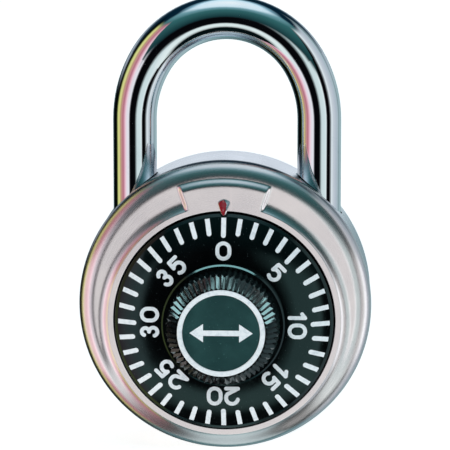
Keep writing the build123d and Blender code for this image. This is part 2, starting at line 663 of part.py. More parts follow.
def draw_digit(digit):
    """Draws the centre line of a digit, centred on the origin."""
    if digit == "0":
        straight = DIGIT_HIGH - DIGIT_WIDE
        for side, start in ((1, 0), (-1, 180)):
            CenterArc((0, side * straight), DIGIT_WIDE, start, 180)
            Line((side * DIGIT_WIDE, -straight), (side * DIGIT_WIDE, straight))
    elif digit == "1":
        Polyline((-0.6, DIGIT_HIGH - 0.5), (0.05, DIGIT_HIGH), (0.05, -DIGIT_HIGH))
    elif digit == "2":
        bowl = CenterArc((0, DIGIT_HIGH - DIGIT_WIDE), DIGIT_WIDE, 165, -205)
        Polyline(bowl @ 1, (-DIGIT_WIDE, -DIGIT_HIGH), (DIGIT_WIDE, -DIGIT_HIGH))
    elif digit == "3":
        waist = 0.08
        for side, start, size in ((1, 160, -250), (-1, 90, -250)):
            radius = (DIGIT_HIGH - side * waist) / 2
            CenterArc((0, side * (DIGIT_HIGH - radius)), radius, start, size)
    else:
        bowl_radius = 0.86
        bowl = CenterArc((0, bowl_radius - DIGIT_HIGH), bowl_radius, 145, -275)
        Polyline((0.8, DIGIT_HIGH), (-0.62, DIGIT_HIGH), bowl @ 0)


def digit_face(digit):
    """A digit as a face: each stroke of its centre line thickened, with a disc at both ends."""
    with BuildLine() as pen:
        draw_digit(digit)
    with BuildSketch() as face:
        for stroke in pen.edges():
            trace(stroke, line_width=STROKE)
            with Locations(stroke @ 0, stroke @ 1):
                Circle(STROKE / 2)
    return face.sketch


# ---- Dial markings: white enamel in the dial's moulded ticks and numerals ----
TICK_INNER = 14.6
MAJOR_TICK_INNER = 14.2
TICK_OUTER = BEVEL_RADIUS - 0.12
TICK_WIDTH = 0.78
NUMERAL_RADIUS = 12.05
DIGIT_ADVANCE = 2.85
NARROW_ADVANCE = 2.25
MARK_DEPTH = 0.25
DIGITS = {digit: digit_face(digit) for digit in "01235"}

with BuildPart() as dial_markings:
    with BuildSketch(dial_plane(DIAL_EDGE_HEIGHT - 1)):
        for position in range(POSITIONS):
            bearing = 90 - position * 360 / POSITIONS
            major = position % NUMBER_STEP == 0
            inner = MAJOR_TICK_INNER if major else TICK_INNER
            with PolarLocations(inner + TICK_WIDTH / 2, 1, bearing):
                Circle(TICK_WIDTH / 2)
                Rectangle(
                    TICK_OUTER - inner - TICK_WIDTH / 2,
                    TICK_WIDTH,
                    align=(Align.MIN, Align.CENTER),
                )
        for number in range(0, POSITIONS, NUMBER_STEP):
            advance = NARROW_ADVANCE if "1" in str(number) else DIGIT_ADVANCE
            with PolarLocations(NUMERAL_RADIUS, 1, 90 - number * 360 / POSITIONS):
                for place, digit in enumerate(str(number)):
                    offset = (place - (len(str(number)) - 1) / 2) * advance
                    with Locations(Location((0, -offset), -90)):
                        add(DIGITS[digit])
    extrude(amount=5)
    with BuildSketch(section_plane(z=DIAL_Z)):
        with BuildLine():
            Polyline(
                (COLLAR_RADIUS, DIAL_HEIGHT),
                (DIAL_FLAT_RADIUS, DIAL_HEIGHT),
                (BEVEL_RADIUS, BEVEL_HEIGHT),
                (BEVEL_RADIUS, BEVEL_HEIGHT - MARK_DEPTH),
                (DIAL_FLAT_RADIUS, DIAL_HEIGHT - MARK_DEPTH),
                (COLLAR_RADIUS, DIAL_HEIGHT - MARK_DEPTH),
                close=True,
            )
        make_face()
    revolve(axis=DIAL_AXIS, mode=Mode.INTERSECT)
dial_markings.part.label = "dial_markings"

# ---- Dial: a moulded cap with a bevelled edge, hollow underneath around its hub ----
DIAL_HUB_RADIUS = 3.6
DIAL_CEILING = DIAL_HEIGHT - DIAL_WALL - 0.3
DIAL_INSIDE = DIAL_RADIUS - DIAL_WALL
DIAL_BOTTOM = WELL_HEIGHT + DIAL_GAP
EDGE_ROUNDING = 0.2
with BuildPart() as dial:
    with BuildSketch(section_plane(z=DIAL_Z)) as dial_profile:
        with BuildLine():
            Polyline(
                (SPINDLE_RADIUS, DIAL_HEIGHT),
                (SPINDLE_RADIUS, DIAL_HUB_HEIGHT),
                (DIAL_HUB_RADIUS, DIAL_HUB_HEIGHT),
                (DIAL_HUB_RADIUS, DIAL_CEILING),
                (DIAL_FLAT_RADIUS, DIAL_CEILING),
                (DIAL_INSIDE, BEVEL_HEIGHT - DIAL_WALL),
                (DIAL_INSIDE, DIAL_BOTTOM),
                (DIAL_RADIUS, DIAL_BOTTOM),
                (DIAL_RADIUS, DIAL_EDGE_HEIGHT),
                (BEVEL_RADIUS, BEVEL_HEIGHT),
                (DIAL_FLAT_RADIUS, DIAL_HEIGHT),
                close=True,
            )
        make_face()
        for corner in ((DIAL_RADIUS, DIAL_EDGE_HEIGHT), (BEVEL_RADIUS, BEVEL_HEIGHT)):
            fillet(dial_profile.vertices().sort_by_distance(corner)[0], EDGE_ROUNDING)
    revolve(axis=DIAL_AXIS)
    add(dial_markings.part, mode=Mode.SUBTRACT)
dial.part.label = "dial"


# ---- Knob: a fluted grip with a fluted bevel, on a plain collar, recessed for the label ----
def flute_points(radius):
    """Points around a fluted outline: four to a flute, crest, flank, root and flank."""
    levels = (0.0, 0.5, 1.0, 0.5)
    count = FLUTES * len(levels)
    points = []
    for index in range(count):
        angle = radians(360 * index / count)
        reach = radius - FLUTE_DEPTH * levels[index % len(levels)]
        points.append((reach * cos(angle), reach * sin(angle)))
    return points


COLLAR_CHAMFER = 0.25
FLUTE_EMBED = 0.4
LABEL_RECESS = 0.45
with BuildPart() as knob:
    for flute_radius, flute_height in (
        (KNOB_FOOT_RADIUS, COLLAR_HEIGHT - FLUTE_EMBED),
        (KNOB_SHOULDER_RADIUS, KNOB_SHOULDER_HEIGHT),
        (KNOB_TOP_RADIUS, KNOB_FACE_HEIGHT),
    ):
        with BuildSketch(dial_plane(flute_height)):
            with BuildLine():
                Polyline(*flute_points(flute_radius), close=True)
            make_face()
    loft(ruled=True)
    with BuildSketch(section_plane(z=DIAL_Z)):
        with BuildLine():
            Polyline(
                (0, DIAL_HEIGHT),
                (COLLAR_RADIUS, DIAL_HEIGHT),
                (COLLAR_RADIUS, COLLAR_HEIGHT - COLLAR_CHAMFER),
                (COLLAR_RADIUS - COLLAR_CHAMFER, COLLAR_HEIGHT),
                (0, COLLAR_HEIGHT),
                close=True,
            )
        make_face()
    revolve(axis=DIAL_AXIS)
    with BuildSketch(dial_plane(KNOB_FACE_HEIGHT)):
        Circle(LABEL_RING_RADIUS)
    extrude(amount=-LABEL_RECESS, mode=Mode.SUBTRACT)
    with BuildSketch(dial_plane(DIAL_HEIGHT)):
        Circle(SPINDLE_RADIUS)
    extrude(amount=SPINDLE_FRONT - DIAL_HEIGHT, mode=Mode.SUBTRACT)
knob.part.label = "knob"

with BuildPart() as knob_ring:
    with BuildSketch(dial_plane(KNOB_FACE_HEIGHT - LABEL_RECESS)):
        Circle(LABEL_RING_RADIUS)
        Circle(LABEL_RADIUS, mode=Mode.SUBTRACT)
    extrude(amount=LABEL_RECESS + 0.15)
    chamfer(knob_ring.edges().group_by(Axis.Y)[0], 0.1)
knob_ring.part.label = "knob_ring"

# ---- Label: a disc with a two-way arrow, since the dial turns both ways ----
ARROW_HALF_LENGTH = 5.1
ARROW_HEAD_LENGTH = 2.2
ARROW_HEAD_HALF_WIDTH = 1.5
ARROW_SHAFT_HALF_WIDTH = 0.45
ARROW_DEPTH = 0.1
LABEL_THICKNESS = 0.35
LABEL_FRONT = KNOB_FACE_HEIGHT - LABEL_RECESS + LABEL_THICKNESS
with BuildPart() as label_arrow:
    with BuildSketch(dial_plane(LABEL_FRONT - ARROW_DEPTH)):
        Rectangle(2 * (ARROW_HALF_LENGTH - ARROW_HEAD_LENGTH), 2 * ARROW_SHAFT_HALF_WIDTH)
        for side in (-1, 1):
            with BuildLine():
                Polyline(
                    (side * ARROW_HALF_LENGTH, 0),
                    (side * (ARROW_HALF_LENGTH - ARROW_HEAD_LENGTH), ARROW_HEAD_HALF_WIDTH),
                    (side * (ARROW_HALF_LENGTH - ARROW_HEAD_LENGTH), -ARROW_HEAD_HALF_WIDTH),
                    close=True,
                )
            make_face()
    extrude(amount=ARROW_DEPTH)
label_arrow.part.label = "label_arrow"

with BuildPart() as knob_label:
    with BuildSketch(dial_plane(KNOB_FACE_HEIGHT - LABEL_RECESS)):
        Circle(LABEL_RADIUS)
    extrude(amount=LABEL_THICKNESS)
    add(label_arrow.part, mode=Mode.SUBTRACT)
knob_label.part.label = "knob_label"

# ---- One file per piece ----
os.makedirs("parts", exist_ok=True)
PIECES = (
    rear_shell,
    front_cover,
    index_mark,
    inner_case,
    shackle_guide,
    wheel_post,
    tension_washer,
    wheel_spacers,
    dial_washer,
    pivot_post,
    pivot_clip,
    spring_seat,
    shackle,
    heel_retaining_ring,
    shackle_spring,
    locking_pawl,
    fence_lever,
    fence_bar,
    lever_spring,
    front_wheel,
    middle_wheel,
    drive_cam,
    dial_spindle,
    spindle_retainer,
    dial_markings,
    dial,
    knob,
    knob_ring,
    label_arrow,
    knob_label,
)
for piece in PIECES:
    export_step(piece.part, f"parts/{piece.part.label}.step")
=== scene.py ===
from math import cos, pi, radians, sin

import bpy
import numpy as np
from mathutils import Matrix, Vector


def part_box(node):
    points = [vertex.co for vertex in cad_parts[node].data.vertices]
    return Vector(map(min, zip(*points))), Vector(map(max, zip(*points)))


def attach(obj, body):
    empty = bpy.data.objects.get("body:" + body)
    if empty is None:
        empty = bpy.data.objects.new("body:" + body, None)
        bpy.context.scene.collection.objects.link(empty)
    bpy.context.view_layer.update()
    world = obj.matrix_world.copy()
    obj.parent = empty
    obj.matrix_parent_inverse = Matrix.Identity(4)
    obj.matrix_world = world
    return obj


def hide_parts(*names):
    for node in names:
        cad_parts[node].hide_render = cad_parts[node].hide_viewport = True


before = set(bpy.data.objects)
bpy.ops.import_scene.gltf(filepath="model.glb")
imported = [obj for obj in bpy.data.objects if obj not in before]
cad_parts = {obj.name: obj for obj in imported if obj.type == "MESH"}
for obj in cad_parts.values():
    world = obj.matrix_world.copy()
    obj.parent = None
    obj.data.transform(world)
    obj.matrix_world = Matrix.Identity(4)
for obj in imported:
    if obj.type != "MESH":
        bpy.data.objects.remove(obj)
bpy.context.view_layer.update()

# A round combination padlock, in metres, in the frame of its CAD model.
# X points right, Z up the shackle and the dial faces -Y; the case's flat back is at Y = 0.

MM = 0.001
MICRON = 0.000001


def box_centre(node):
    """The middle of a CAD node's box."""
    low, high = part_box(node)
    return (low + high) / 2


CASE_LOW, CASE_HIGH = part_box("front_cover")
SEAM_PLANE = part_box("rear_shell")[0].y
RIM_PLANE = SEAM_PLANE - 0.7 * MM
DIAL_CENTRE = box_centre("dial")
CASE_CENTRE = box_centre("rear_shell")

# ---- Camera: a long lens, a little above the padlock and a little to its right ----
CAMERA_AZIMUTH = 2.8
CAMERA_ELEVATION = 10.0
CAMERA_DISTANCE = 560 * MM
VIEW_WIDTH = 73.6 * MM
LOOK_HEIGHT = 13.27 * MM


def make_camera():
    """The scene's camera, aimed at the middle of the picture in the plane of the front rim."""
    azimuth = radians(CAMERA_AZIMUTH)
    elevation = radians(CAMERA_ELEVATION)
    back = Vector(
        (sin(azimuth) * cos(elevation), -cos(azimuth) * cos(elevation), sin(elevation))
    )
    data = bpy.data.cameras.new("camera")
    data.lens = data.sensor_width * CAMERA_DISTANCE / VIEW_WIDTH
    data.clip_start = 10 * MM
    data.clip_end = 10
    camera = bpy.data.objects.new("camera", data)
    camera.location = Vector((0, RIM_PLANE, LOOK_HEIGHT)) + back * CAMERA_DISTANCE
    camera.rotation_mode = "QUATERNION"
    camera.rotation_quaternion = (-back).to_track_quat("-Z", "Y")
    bpy.context.scene.collection.objects.link(camera)
    bpy.context.scene.camera = camera


# ---- Shader building blocks ----
def linear(red, green, blue):
    """A display colour, 0 to 255, as linear light."""
    return tuple(
        c / 12.92 if c <= 0.04045 else ((c + 0.055) / 1.055) ** 2.4
        for c in (red / 255, green / 255, blue / 255)
    ) + (1.0,)


class Graph:
    """Adds nodes to one shader tree. A value may be a number, a colour or another node's output."""

    def __init__(self, tree):
        self.tree = tree
        tree.nodes.clear()

    def put(self, socket, value):
        if isinstance(value, bpy.types.NodeSocket):
            self.tree.links.new(value, socket)
        else:
            socket.default_value = value

    def node(self, kind, inputs=None, **settings):
        made = self.tree.nodes.new("ShaderNode" + kind)
        for name, value in settings.items():
            setattr(made, name, value)
        for name, value in (inputs or {}).items():
            self.put(made.inputs[name], value)
        return made

    def math(self, operation, *values, clamp=False):
        made = self.node("Math", operation=operation, use_clamp=clamp)
        for socket, value in zip(made.inputs, values):
            self.put(socket, value)
        return made.outputs[0]

    def step(self, value, low, high, first=0.0, last=1.0):
        """first below low, last above high, and smooth in between."""
        made = self.node(
            "MapRange",
            {
                "Value": value,
                "From Min": low,
                "From Max": high,
                "To Min": first,
                "To Max": last,
            },
            interpolation_type="SMOOTHSTEP",
        )
        return made.outputs["Result"]

    def mix(self, factor, first, last):
        made = self.node("Mix", data_type="RGBA", clamp_factor=True)
        colours = [s for s in made.inputs if s.type == "RGBA"]
        self.put(made.inputs["Factor"], factor)
        self.put(colours[0], first)
        self.put(colours[1], last)
        return [s for s in made.outputs if s.type == "RGBA"][0]

    def ramp(self, factor, stops, mode="LINEAR"):
        """A colour ramp. stops are (place from 0 to 1, display colour)."""
        made = self.node("ValToRGB", {"Fac": factor})
        ramp = made.color_ramp
        ramp.interpolation = mode
        while len(ramp.elements) < len(stops):
            ramp.elements.new(0.5)
        for element, (place, colour) in zip(ramp.elements, stops):
            element.position = place
            element.color = linear(*colour)
        return made.outputs["Color"]

    def noise(self, vector, scale, detail=2.0, roughness=0.5, distortion=0.0):
        """Noise from 0 to 1 that varies scale times in a metre."""
        made = self.node(
            "TexNoise",
            {
                "Vector": vector,
                "Scale": scale,
                "Detail": detail,
                "Roughness": roughness,
                "Distortion": distortion,
            },
        )
        return made.outputs["Fac"]

    def position(self):
        return self.node("TexCoord").outputs["Object"]

    def stretched(self, vector, x, y, z):
        made = self.node("Mapping", {"Vector": vector, "Scale": (x, y, z)})
        return made.outputs["Vector"]

    def polar(self, centre):
        """Radius and angle in radians about an axis along Y, and the depth along it."""
        offset = self.node(
            "VectorMath",
            {0: self.position(), 1: tuple(centre)},
            operation="SUBTRACT",
        )
        parts = self.node("SeparateXYZ", {"Vector": offset.outputs[0]})
        x, y, z = (parts.outputs[name] for name in "XYZ")
        squares = [self.math("MULTIPLY", part, part) for part in (x, z)]
        radius = self.math("SQRT", self.math("ADD", *squares))
        return radius, self.math("ARCTAN2", x, z), y

    def vector(self, x, y, z):
        return self.node("CombineXYZ", {"X": x, "Y": y, "Z": z}).outputs[0]

    def scratches(self, vector, scale, density, stretch):
        """Thin straight scratches as a mask: 1 on a scratch. density is from 0 to 1."""
        turned = self.node(
            "Mapping", {"Vector": vector, "Scale": stretch, "Rotation": (0.35, 0.6, 0.2)}
        ).outputs["Vector"]
        return self.step(self.noise(turned, scale, 4.0, 0.6), 0.72 - 0.1 * density, 0.78)

    def bump(self, height, distance, strength=1.0, normal=None):
        inputs = {"Height": height, "Distance": distance, "Strength": strength}
        if normal is not None:
            inputs["Normal"] = normal
        return self.node("Bump", inputs).outputs["Normal"]

    def finish(self, **inputs):
        """The shader and the output, from the Principled shader's own inputs."""
        names = {name.replace("_", " "): value for name, value in inputs.items()}
        shader = self.node("BsdfPrincipled", names)
        output = self.node("OutputMaterial")
        self.tree.links.new(shader.outputs["BSDF"], output.inputs["Surface"])


def new_material(name):
    material = bpy.data.materials.new(name)
    material.use_nodes = True
    return material, Graph(material.node_tree)


# ---- Materials ----
def satin_metal(name, colour, tint, roughness, brush_centre):
    """Satin plated steel: a fine blasted grain, faint turned lines about an axis, dull patches
    and a few hairline scratches."""
    material, g = new_material(name)
    radius, angle, depth = g.polar(brush_centre)
    place = g.position()
    turned = g.noise(
        g.vector(g.math("MULTIPLY", radius, 9000.0), g.math("MULTIPLY", angle, 3.0), 0.0),
        1.0,
        3.0,
    )
    grain = g.noise(place, 5200.0, 3.0, 0.6)
    patches = g.noise(place, 95.0, 3.0, 0.55)
    scratch = g.scratches(place, 900.0, 0.2, (1.0, 1.0, 0.04))
    base = g.mix(g.step(patches, 0.3, 0.75), linear(*colour), linear(*tint))
    base = g.mix(g.math("MULTIPLY", grain, 0.16), base, linear(150, 148, 150))
    rough = g.math("ADD", roughness - 0.06, g.math("MULTIPLY", patches, 0.14))
    rough = g.math("ADD", rough, g.math("MULTIPLY", g.math("SUBTRACT", turned, 0.5), 0.12))
    rough = g.math("SUBTRACT", rough, g.math("MULTIPLY", scratch, 0.12), clamp=True)
    normal = g.bump(turned, 1.2 * MICRON, 0.6)
    normal = g.bump(grain, 3 * MICRON, 0.7, normal)
    normal = g.bump(scratch, -3 * MICRON, 0.5, normal)
    g.finish(Base_Color=base, Metallic=1.0, Roughness=rough, Normal=normal)
    return material


def chrome_metal():
    """Polished chrome on a drawn rod: a faint lengthwise waviness, finger smudges, pin pricks."""
    material, g = new_material("chrome_plate")
    place = g.position()
    smudge = g.step(g.noise(place, 160.0, 4.0, 0.6, 0.8), 0.48, 0.78)
    drawn = g.noise(g.stretched(place, 1.0, 1.0, 0.05), 900.0, 2.0)
    waves = g.noise(place, 210.0, 1.0)
    pits = g.step(g.noise(place, 3000.0, 1.0), 0.76, 0.82)
    hairline = g.scratches(place, 1500.0, 0.1, (1.0, 1.0, 0.03))
    rough = g.math("ADD", 0.03, g.math("MULTIPLY", smudge, 0.07))
    rough = g.math("ADD", rough, g.math("MULTIPLY", hairline, 0.12))
    rough = g.math("ADD", rough, g.math("MULTIPLY", pits, 0.25), clamp=True)
    base = g.mix(smudge, linear(243, 247, 249), linear(232, 238, 241))
    normal = g.bump(waves, 22 * MICRON, 0.5)
    normal = g.bump(drawn, 0.8 * MICRON, 0.5, normal)
    g.finish(Base_Color=base, Metallic=1.0, Roughness=rough, Normal=normal)
    return material


def gloss_plastic(name, colour, domed):
    """Moulded black plastic with a high polish: swirl marks from turning, dust and fine wear."""
    material, g = new_material(name)
    radius, angle, depth = g.polar(DIAL_CENTRE)
    place = g.position()
    swirl = g.noise(
        g.vector(g.math("MULTIPLY", radius, 7000.0), g.math("MULTIPLY", angle, 2.0), depth), 1.0, 2.0
    )
    haze = g.noise(place, 240.0, 4.0, 0.6)
    dust = g.step(g.noise(place, 4200.0, 1.0), 0.73, 0.79)
    base = g.mix(g.math("MULTIPLY", haze, 0.5), linear(*colour), linear(12, 15, 16))
    base = g.mix(g.math("MULTIPLY", dust, 0.5), base, linear(90, 96, 98))
    rough = g.math("ADD", 0.06, g.math("MULTIPLY", g.step(haze, 0.35, 0.8), 0.12))
    rough = g.math("ADD", rough, g.math("MULTIPLY", swirl, 0.05))
    rough = g.math("ADD", rough, g.math("MULTIPLY", dust, 0.3), clamp=True)
    normal = g.bump(g.noise(place, 330.0, 2.0), 16 * MICRON, 0.6)
    if domed:
        normal = g.bump(moulded_dome(g, radius), MM, 1.0, normal)
    normal = g.bump(swirl, 0.5 * MICRON, 0.4, normal)
    tint = linear(178, 226, 224)
    g.finish(Base_Color=base, Roughness=rough, Normal=normal, IOR=1.6, Specular_Tint=tint)
    return material


DOME_START = 9.5 * MM
BEVEL_START = 14.0 * MM
BEVEL_END = 17.4 * MM
HALF_BEVEL_SLOPE = 0.235


def moulded_dome(g, radius):
    """The moulded crown that eases the dial's flat into its bevel, as a height in millimetres."""
    rise = g.math("MULTIPLY", g.math("SUBTRACT", radius, DOME_START), 1 / MM, clamp=False)
    rise = g.math("MAXIMUM", g.math("MINIMUM", rise, (BEVEL_START - DOME_START) / MM), 0.0)
    flat = (BEVEL_START - DOME_START) / MM
    sink = g.math("MULTIPLY", g.math("MULTIPLY", rise, rise), -HALF_BEVEL_SLOPE / (2 * flat))
    past = g.math("MULTIPLY", g.math("SUBTRACT", radius, BEVEL_START), 1 / MM)
    slope = (BEVEL_END - BEVEL_START) / MM
    past = g.math("MAXIMUM", g.math("MINIMUM", past, slope), 0.0)
    fall = g.math("SUBTRACT", past, g.math("DIVIDE", g.math("MULTIPLY", past, past), 2 * slope))
    return g.math("ADD", sink, g.math("MULTIPLY", fall, HALF_BEVEL_SLOPE))


def enamel(name, colour, worn, roughness):
    """Paint wiped into moulded marks: slightly uneven, thinner and greyer in patches."""
    material, g = new_material(name)
    place = g.position()
    thin = g.step(g.noise(place, 1400.0, 3.0, 0.6), 0.42, 0.8)
    speck = g.step(g.noise(place, 5200.0, 2.0), 0.7, 0.78)
    base = g.mix(thin, linear(*colour), linear(*worn))
    base = g.mix(g.math("MULTIPLY", speck, 0.35), base, linear(70, 74, 76))
    rough = g.math("ADD", roughness, g.math("MULTIPLY", thin, 0.2))
    normal = g.bump(g.noise(place, 2600.0, 3.0, 0.6), 14 * MICRON, 0.7)
    g.finish(Base_Color=base, Roughness=rough, Normal=normal)
    return material


def turned_metal(name, colour, dull, roughness, centre):
    """Turned or stamped metal inside the case: lathe lines, stains and a dry grain."""
    material, g = new_material(name)
    radius, angle, depth = g.polar(centre)
    place = g.position()
    rings = g.noise(
        g.vector(g.math("MULTIPLY", radius, 6000.0), g.math("MULTIPLY", angle, 0.6), 0.0), 1.0, 2.0
    )
    stain = g.step(g.noise(place, 260.0, 4.0, 0.6), 0.4, 0.75)
    grain = g.noise(place, 5000.0, 2.0)
    base = g.mix(stain, linear(*colour), linear(*dull))
    rough = g.math("ADD", roughness, g.math("MULTIPLY", stain, 0.18))
    rough = g.math("ADD", rough, g.math("MULTIPLY", g.math("SUBTRACT", rings, 0.5), 0.15), clamp=True)
    normal = g.bump(rings, 2.5 * MICRON, 0.7)
    normal = g.bump(grain, 3 * MICRON, 0.5, normal)
    g.finish(Base_Color=base, Metallic=1.0, Roughness=rough, Normal=normal)
    return material


def cast_metal():
    """Die-cast zinc: pebbled skin, flow marks and darker hollows."""
    material, g = new_material("cast_zinc")
    place = g.position()
    flow = g.noise(g.stretched(place, 1.0, 0.5, 0.3), 240.0, 4.0, 0.6, 1.2)
    pebble = g.noise(place, 1900.0, 3.0, 0.6)
    base = g.mix(g.step(flow, 0.35, 0.7), linear(168, 170, 172), linear(128, 131, 135))
    base = g.mix(g.step(pebble, 0.62, 0.8), base, linear(88, 90, 94))
    rough = g.math("ADD", 0.42, g.math("MULTIPLY", flow, 0.2))
    normal = g.bump(pebble, 16 * MICRON, 0.8)
    g.finish(Base_Color=base, Metallic=1.0, Roughness=rough, Normal=normal)
    return material


def label_paint():
    """The printed label: a dark blue-green lacquer on a brushed disc."""
    material, g = new_material("label_lacquer")
    place = g.position()
    brush = g.noise(g.stretched(place, 0.06, 1.0, 1.0), 3600.0, 3.0)
    cloud = g.noise(place, 320.0, 3.0)
    speck = g.step(g.noise(place, 4600.0, 1.0), 0.74, 0.8)
    base = g.mix(g.step(cloud, 0.3, 0.75), linear(26, 66, 66), linear(38, 80, 79))
    base = g.mix(g.math("MULTIPLY", speck, 0.5), base, linear(110, 170, 165))
    rough = g.math("ADD", 0.26, g.math("MULTIPLY", brush, 0.16))
    normal = g.bump(brush, 2 * MICRON, 0.6)
    g.finish(Base_Color=base, Metallic=0.35, Roughness=rough, Normal=normal)
    return material


def nylon():
    """Natural nylon: milky, with a soft sheen and mould flow."""
    material, g = new_material("natural_nylon")
    place = g.position()
    flow = g.noise(place, 500.0, 3.0, 0.6, 1.0)
    base = g.mix(g.step(flow, 0.3, 0.7), linear(226, 222, 208), linear(206, 200, 184))
    rough = g.math("ADD", 0.36, g.math("MULTIPLY", flow, 0.2))
    normal = g.bump(g.noise(place, 3000.0, 2.0), 8 * MICRON, 0.6)
    g.finish(Base_Color=base, Roughness=rough, Normal=normal)
    return material


def dress(material, *nodes):
    """Gives CAD nodes a material."""
    for name in nodes:
        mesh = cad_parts[name].data
        mesh.materials.clear()
        mesh.materials.append(material)
        for face in mesh.polygons:
            face.material_index = 0


# ---- Pressed front cover: a height above the seam for every point of the sheet ----
SEAM_Y = SEAM_PLANE / MM
DIAL_Z = DIAL_CENTRE.z / MM
RIM_RADIUS = (CASE_HIGH.x - CASE_LOW.x) / 2 / MM
WIDEST_RISE = 0.5
ROLL_RADIUS = 2.3
ROLL_TILT = radians(38)
SHOULDER_RADIUS = 3.2
LAND_RADIUS = RIM_RADIUS - ROLL_RADIUS - (SHOULDER_RADIUS - ROLL_RADIUS) * sin(ROLL_TILT)
LAND_RISE = WIDEST_RISE + SHOULDER_RADIUS - (SHOULDER_RADIUS - ROLL_RADIUS) * cos(ROLL_TILT)
SHOULDER_END = LAND_RADIUS + SHOULDER_RADIUS * sin(ROLL_TILT)
RING_RISE = 0.7
RING_FOOT_RADIUS = 20.9
RING_WALL_WIDTH = 1.8
TAB_RADIUS = 23.5
TAB_TOP_WIDTH = 1.9
TAB_HALF_ANGLE = radians(19.6)
TAB_SIDE_WIDTH = 0.8
PLATEAU_RISE = LAND_RISE + RING_RISE
WELL_RADIUS = 18.1
WELL_RISE = 0.1
EDGE_ROUNDING = 0.15
POST_HOLE_RADIUS = 3.3
FLOOR_DROP = -0.7
SPIGOT_RADIUS = 22.5
SEGMENTS = 1080
# From this radius out, the rings of the mesh shift from the dial's centre to the case's.
BLEND_START = 20.0


def smooth(t):
    t = np.clip(t, 0, 1)
    return t * t * (3 - 2 * t)


def fall(distance, width, sharpness):
    """A wall's share of its way down: 0 from width inside its foot, 1 at the foot. Below 1,
    sharpness makes a tight top edge and a broad foot, and above 1 the other way round."""
    return smooth(np.clip(1 + distance / width, 0, 1) ** sharpness)


def cover_rise(x, z):
    """How far the skin outside the well stands in front of the seam at (x, z), in millimetres."""
    across, up = np.abs(x), z - DIAL_Z
    dial_radius = np.hypot(x, up)
    outward = np.clip(np.hypot(x, z), LAND_RADIUS, SHOULDER_END) - LAND_RADIUS
    land = LAND_RISE - SHOULDER_RADIUS + np.sqrt(SHOULDER_RADIUS**2 - outward**2)
    off_ring = fall(dial_radius - RING_FOOT_RADIUS, RING_WALL_WIDTH, 0.5)
    to_side = across * cos(TAB_HALF_ANGLE) - up * sin(TAB_HALF_ANGLE)
    off_side = fall(to_side, TAB_SIDE_WIDTH, 1.3)
    off_top = fall(dial_radius - TAB_RADIUS, TAB_TOP_WIDTH, 2.0)
    off_tab = 1 - (1 - off_side) * (1 - off_top)
    return land + RING_RISE * (1 - off_ring * off_tab)


def ring_mesh(name, rings):
    """A closed skin of rings, each (centre z, radius, rise or None for the pressed height)."""
    turn = np.linspace(0, 2 * pi, SEGMENTS, endpoint=False)
    points = []
    for centre, radius, rise in rings:
        x = radius * np.sin(turn)
        z = centre + radius * np.cos(turn)
        height = cover_rise(x, z) if rise is None else np.full(SEGMENTS, rise)
        points.append(np.stack((x, SEAM_Y - height, z), axis=1))
    points = np.concatenate(points) * MM
    count = len(rings)
    ring, place = np.meshgrid(np.arange(count), np.arange(SEGMENTS), indexing="ij")
    following = (ring + 1) % count
    beside = (place + 1) % SEGMENTS
    corners = (
        ring * SEGMENTS + place,
        following * SEGMENTS + place,
        following * SEGMENTS + beside,
        ring * SEGMENTS + beside,
    )
    faces = np.stack([corner.ravel() for corner in corners], axis=1)
    return make_piece(name, points.tolist(), faces.tolist())


def make_piece(name, points, faces):
    mesh = bpy.data.meshes.new(name)
    mesh.from_pydata(points, [], faces)
    mesh.validate()
    mesh.shade_smooth()
    piece = bpy.data.objects.new(name, mesh)
    bpy.context.scene.collection.objects.link(piece)
    return piece


def make_cover():
    """The front cover: the well, the ring, tab and land by cover_rise, the rolled rim, the back."""
    rings = [(DIAL_Z, r, WELL_RISE) for r in np.linspace(POST_HOLE_RADIUS, WELL_RADIUS, 6)]
    wall_top = PLATEAU_RISE - EDGE_ROUNDING
    rings += [(DIAL_Z, WELL_RADIUS, rise) for rise in np.linspace(WELL_RISE, wall_top, 6)[1:]]
    for turn in np.linspace(0, pi / 2, 6)[1:]:
        inset = EDGE_ROUNDING * (1 - cos(turn))
        rings.append((DIAL_Z, WELL_RADIUS + inset, wall_top + EDGE_ROUNDING * sin(turn)))
    rings += [(DIAL_Z, r, None) for r in np.arange(18.32, BLEND_START, 0.07)]
    for share in np.linspace(0, 1, 80):
        radius = BLEND_START + (SHOULDER_END - BLEND_START) * share
        rings.append((DIAL_Z * (1 - share), radius, None))
    for tilt in np.linspace(ROLL_TILT, pi / 2, 16)[1:]:
        radius = RIM_RADIUS - ROLL_RADIUS * (1 - sin(tilt))
        rings.append((0, radius, WIDEST_RISE + ROLL_RADIUS * cos(tilt)))
    rings += [(0, RIM_RADIUS, 0.25), (0, RIM_RADIUS - 0.06, 0.08), (0, RIM_RADIUS - 0.25, 0.0)]
    rings += [(0, SPIGOT_RADIUS, 0.0), (0, SPIGOT_RADIUS, FLOOR_DROP)]
    rings += [(DIAL_Z, POST_HOLE_RADIUS, FLOOR_DROP)]
    cover = ring_mesh("pressed_cover", rings)
    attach(cover, "case")
    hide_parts("front_cover")
    return cover


# ---- Index: a pressed-up drop that points at the dial, with paint on its left and middle ----
NIB_TOP = 20.15
NIB_BEND = 18.2
NIB_TIP = 17.62
NIB_LOW_RISE = PLATEAU_RISE + 0.2
NIB_HIGH_RISE = 5.0
NIB_SHEET = 0.3
NIB_ROWS = 36
NIB_COLUMNS = 17
# Shares of the drop's length: its round head ends at the first, and its nose starts at the second.
HEAD_SHARE = 0.28
NOSE_START = 0.93
NOSE_SHARE = 0.0701
# How far a raised skin is set back from the nib's two ends, for each unit of its lift.
HEAD_INSET = 4
TIP_INSET = 1


